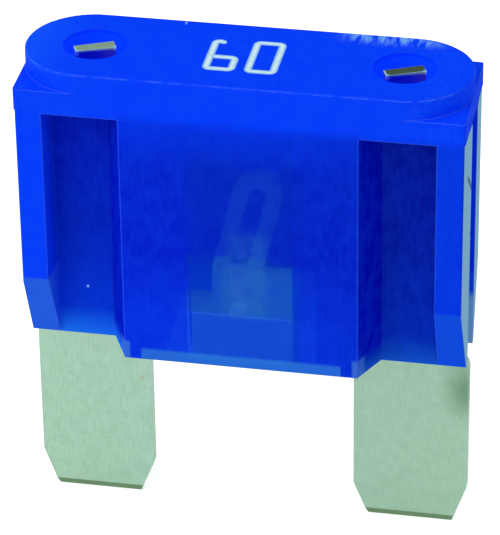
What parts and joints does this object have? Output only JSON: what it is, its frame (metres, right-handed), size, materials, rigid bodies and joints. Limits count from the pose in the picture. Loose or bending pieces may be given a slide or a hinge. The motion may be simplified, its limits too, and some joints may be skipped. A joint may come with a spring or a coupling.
{
  "type": "automotive blade fuse",
  "caption": "High-current plug-in blade fuse with two flat tinned blades under a translucent blue moulded housing.",
  "frame": {"origin": "middle of the bounding box at the level of the blade tips", "axes": "+X from the left blade to the right blade seen from the front, -Y towards the front, +Z from the blade tips to the crown"},
  "size_m": [0.0292, 0.0086, 0.0343],
  "materials": {
    "housing_plastic": "translucent blue moulded plastic with a soft gloss",
    "tinned_zinc": "dull tin plate over stamped zinc alloy, with faint lengthwise rolling marks",
    "rating_ink": "flat white pad-printed ink for the rating number on the crown"
  },
  "bodies": {
    "root": {"housing": "housing_plastic", "fuse_element": "tinned_zinc"}
  },
  "joints": []
}
